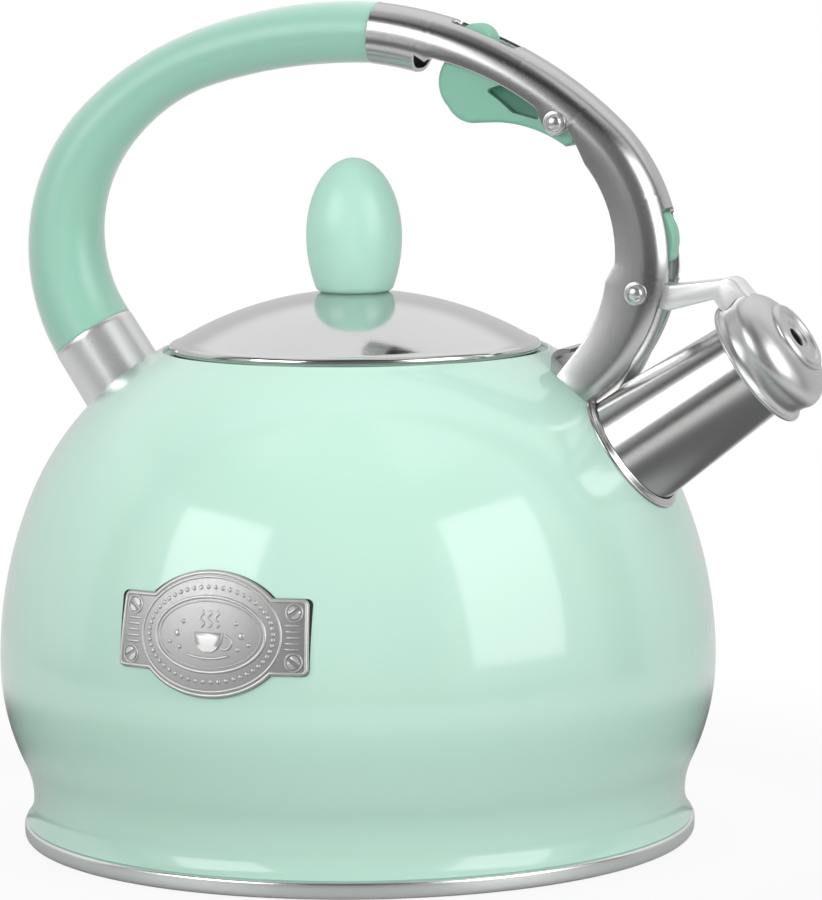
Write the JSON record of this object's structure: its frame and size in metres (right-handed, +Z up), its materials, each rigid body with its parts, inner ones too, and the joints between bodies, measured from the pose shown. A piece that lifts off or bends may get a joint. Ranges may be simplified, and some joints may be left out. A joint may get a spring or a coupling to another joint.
{
  "type": "stovetop whistling kettle",
  "caption": "Round-bellied enamelled stovetop kettle with a fixed arched handle, lift-off lid, slanted spout and a squeeze trigger that tips the whistle cap open.",
  "frame": {"origin": "centre of the base on the surface that the kettle stands on", "axes": "+Z up; +X from the body's axis towards the spout; the nameplate faces -Y"},
  "size_m": [0.2338, 0.2012, 0.2324],
  "materials": {
    "mint_enamel": "gloss",
    "polished_steel": "polished",
    "brushed_steel": "satin",
    "base_steel": "satin",
    "core_aluminium": "plain",
    "grip_mint": "soft touch",
    "trigger_mint": "satin",
    "black_nylon": "satin",
    "insert_brass": "plain",
    "plate_steel": "satin",
    "adhesive_foam": "matt"
  },
  "bodies": {
    "kettle": {"body_shell": "mint_enamel", "base_pan": "base_steel", "heat_spreader": "core_aluminium", "induction_plate": "base_steel", "neck_ring": "base_steel", "spout_tube": "brushed_steel", "spout_flange": "polished_steel", "handle_shell": "brushed_steel", "front_plug": "black_nylon", "front_bracket": "brushed_steel", "grip": "grip_mint", "grip_core": "base_steel", "rear_ferrule": "brushed_steel", "rear_foot": "base_steel", "trigger_pin": "polished_steel", "cap_pin": "polished_steel", "nameplate": "plate_steel", "nameplate_tape": "adhesive_foam"},
    "lid": {"lid_dome": "polished_steel", "lid_skirt": "base_steel", "knob": "grip_mint", "knob_insert": "insert_brass", "knob_screw": "base_steel", "knob_washer": "base_steel"},
    "trigger": {"trigger": "trigger_mint"},
    "whistle_cap": {"cap_arm": "brushed_steel", "cap_shell": "polished_steel", "whistle_face": "polished_steel", "whistle_plate": "polished_steel", "cap_spring": "base_steel"}
  },
  "joints": [
    {"name": "lid_lift", "type": "slide", "parent": "kettle", "child": "lid", "axis": [0, 0, 1], "range_m": [0, 0.023]},
    {"name": "trigger_squeeze", "type": "hinge", "parent": "kettle", "child": "trigger", "pos_m": [0.0621, 0, 0.1995], "axis": [0, 1, 0], "range_deg": [0, 10], "stiffness_Nm_per_rad": 0.25, "springref_deg": -8.59},
    {"name": "cap_tip", "type": "hinge", "parent": "kettle", "child": "whistle_cap", "pos_m": [0.085, 0, 0.1538], "axis": [0, -1, 0], "range_deg": [0, 40], "stiffness_Nm_per_rad": 0.03, "springref_deg": -28.65}
  ],
  "couplings": [
    {"joint": "cap_tip", "follows": "trigger_squeeze", "ratio": 4}
  ]
}
